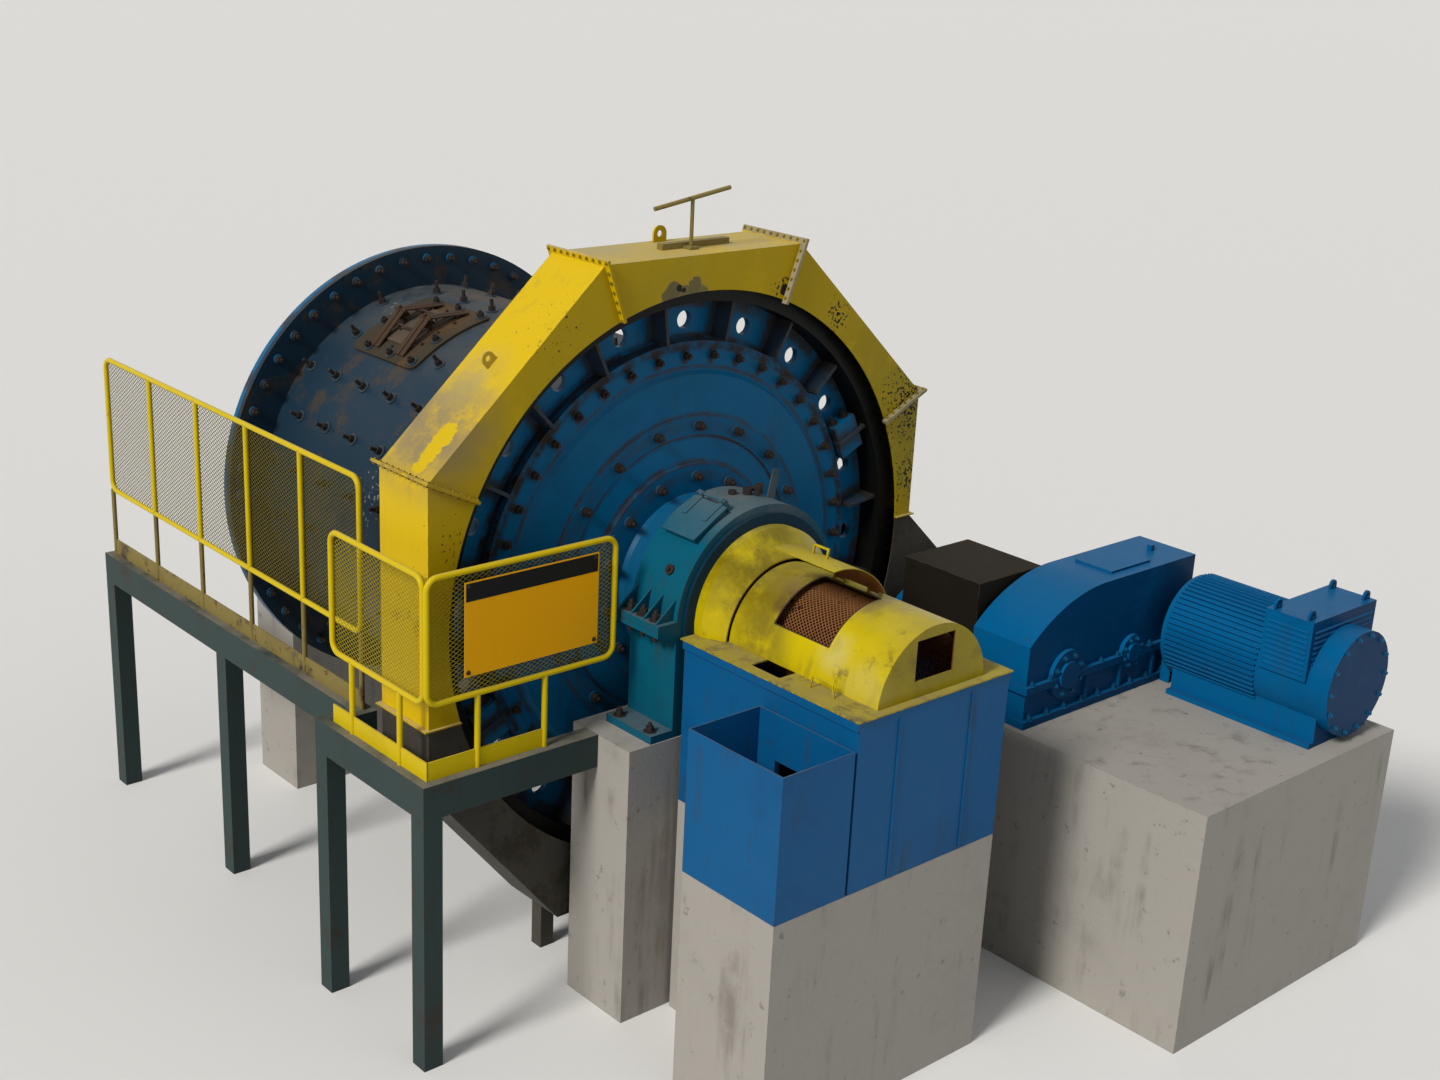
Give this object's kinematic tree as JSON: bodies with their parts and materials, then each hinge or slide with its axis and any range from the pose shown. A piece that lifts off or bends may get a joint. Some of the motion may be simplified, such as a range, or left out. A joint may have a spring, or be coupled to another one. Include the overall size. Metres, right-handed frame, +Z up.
{
  "type": "ball mill",
  "caption": "Overflow ball mill on its piers, with girth gear drive, gear guard, discharge trommel under a hinged hood, and mesh guards beside it.",
  "frame": {"origin": "on the ground, at the bottom face of the discharge pier, straight under the middle of the discharge bearing", "axes": "+Z up, the mill axis runs along +Y from the discharge end to the feed end, the drive stands on the +X side"},
  "size_m": [6.88, 8.52, 5.8506],
  "materials": {
    "concrete": "rough",
    "bearing_blue": "semi-gloss, dusty",
    "seal_rubber": "matt",
    "guard_yellow": "satin, dusty",
    "pan_grey": "matt",
    "dull_steel": "matt",
    "hood_yellow": "satin",
    "deck_yellow": "matt, dusty",
    "tank_blue": "satin",
    "drive_blue": "satin",
    "cover_grey": "matt, dusty",
    "beam_green": "matt",
    "rail_yellow": "satin",
    "mesh_yellow": "matt",
    "notice_orange": "satin",
    "shell_paint": "matt, dusty",
    "head_blue": "satin, greasy",
    "greased_steel": "greasy",
    "rusty_plate": "rough, dusty",
    "rusty_screen": "rough, rusty",
    "coupling_red": "satin"
  },
  "bodies": {
    "root": {"discharge_pier": "concrete", "feed_pier": "concrete", "box_pier": "concrete", "drive_pier": "concrete", "discharge_bearing_base": "bearing_blue", "discharge_bearing_cap": "bearing_blue", "feed_bearing_base": "bearing_blue", "feed_bearing_cap": "bearing_blue", "discharge_seal_ring": "seal_rubber", "guard_crown": "guard_yellow", "guard_left_shoulder": "guard_yellow", "guard_right_shoulder": "guard_yellow", "guard_left_leg": "guard_yellow", "guard_right_leg": "guard_yellow", "guard_pan": "pan_grey", "guard_tee_handle": "dull_steel", "trommel_hood": "hood_yellow", "hood_neck": "hood_yellow", "discharge_deck": "deck_yellow", "discharge_box": "tank_blue", "side_sump": "tank_blue", "pinion_bearing_front": "drive_blue", "pinion_bearing_rear": "drive_blue", "gearbox": "drive_blue", "motor": "drive_blue", "motor_cooler": "drive_blue", "coupling_guard": "drive_blue", "pinion_cover": "cover_grey", "pit_edge_frame": "beam_green", "side_guard_frame": "rail_yellow", "corner_guard_frame": "rail_yellow", "side_guard_mesh": "mesh_yellow", "corner_guard_mesh": "mesh_yellow", "notice_plate": "notice_orange"},
    "mill": {"drum_shell": "shell_paint", "discharge_shell_flange": "shell_paint", "feed_shell_flange": "shell_paint", "discharge_head": "head_blue", "feed_head": "head_blue", "discharge_trunnion": "head_blue", "feed_trunnion": "head_blue", "girth_gear_web": "head_blue", "girth_gear_rim": "greased_steel", "manhole_cover": "rusty_plate", "trommel_screen": "rusty_screen"},
    "pinion": {"pinion_shaft": "greased_steel", "drive_coupling": "coupling_red"},
    "hatch": {"hood_hatch": "hood_yellow"},
    "inspection_lid": {"bearing_lid": "bearing_blue"}
  },
  "joints": [
    {"name": "mill_spin", "type": "hinge", "parent": "root", "child": "mill", "pos_m": [0, 0, 3], "axis": [0, 1, 0], "continuous": true},
    {"name": "pinion_spin", "type": "hinge", "parent": "root", "child": "pinion", "pos_m": [2.35386, 0, 2.23518], "axis": [0, 1, 0], "continuous": true},
    {"name": "hatch_hinge", "type": "hinge", "parent": "root", "child": "hatch", "pos_m": [0.07543, -1.142, 3.43673], "axis": [0, 1, 0], "range_deg": [-55, 95]},
    {"name": "lid_hinge", "type": "hinge", "parent": "root", "child": "inspection_lid", "pos_m": [-0.26424, 0, 3.80217], "axis": [0, 1, 0], "range_deg": [0, 100]}
  ],
  "couplings": [
    {"joint": "pinion_spin", "follows": "mill_spin", "ratio": -8}
  ]
}
